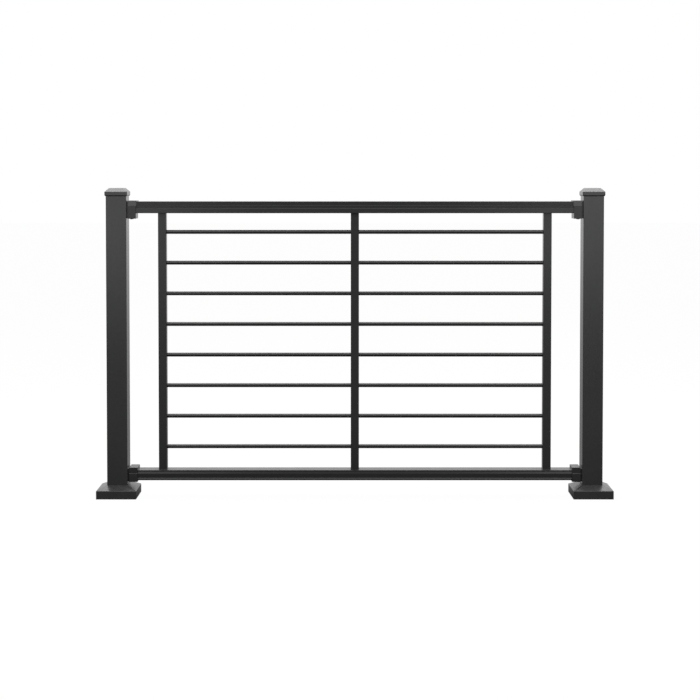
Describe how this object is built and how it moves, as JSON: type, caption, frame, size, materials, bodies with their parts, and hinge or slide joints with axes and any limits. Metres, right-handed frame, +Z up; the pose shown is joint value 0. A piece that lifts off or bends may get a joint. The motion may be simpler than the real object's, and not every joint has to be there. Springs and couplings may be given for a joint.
{
  "type": "deck railing section",
  "caption": "Deck railing section: square posts on bolted base plates, ribbed top and bottom rails in collar brackets, square balusters and round horizontal rods.",
  "frame": {"origin": "centre of the left base plate's underside, on the deck", "axes": "+X along the rails from the left post to the right post, +Z up, -Y to the front"},
  "size_m": [1.604, 0.124, 0.964],
  "materials": {
    "charcoal_powder_coat": "satin",
    "plate_powder_coat": "satin"
  },
  "bodies": {
    "root": {"left_post": "charcoal_powder_coat", "right_post": "charcoal_powder_coat", "left_post_cap": "charcoal_powder_coat", "right_post_cap": "charcoal_powder_coat", "left_base_plate": "plate_powder_coat", "right_base_plate": "plate_powder_coat", "left_base_skirt": "charcoal_powder_coat", "right_base_skirt": "charcoal_powder_coat", "top_rail": "charcoal_powder_coat", "bottom_rail": "charcoal_powder_coat", "top_left_bracket": "charcoal_powder_coat", "top_right_bracket": "charcoal_powder_coat", "bottom_left_bracket": "charcoal_powder_coat", "bottom_right_bracket": "charcoal_powder_coat", "left_baluster": "charcoal_powder_coat", "middle_baluster": "charcoal_powder_coat", "right_baluster": "charcoal_powder_coat", "rod_1": "charcoal_powder_coat", "rod_2": "charcoal_powder_coat", "rod_3": "charcoal_powder_coat", "rod_4": "charcoal_powder_coat", "rod_5": "charcoal_powder_coat", "rod_6": "charcoal_powder_coat", "rod_7": "charcoal_powder_coat", "rod_8": "charcoal_powder_coat"}
  },
  "joints": []
}
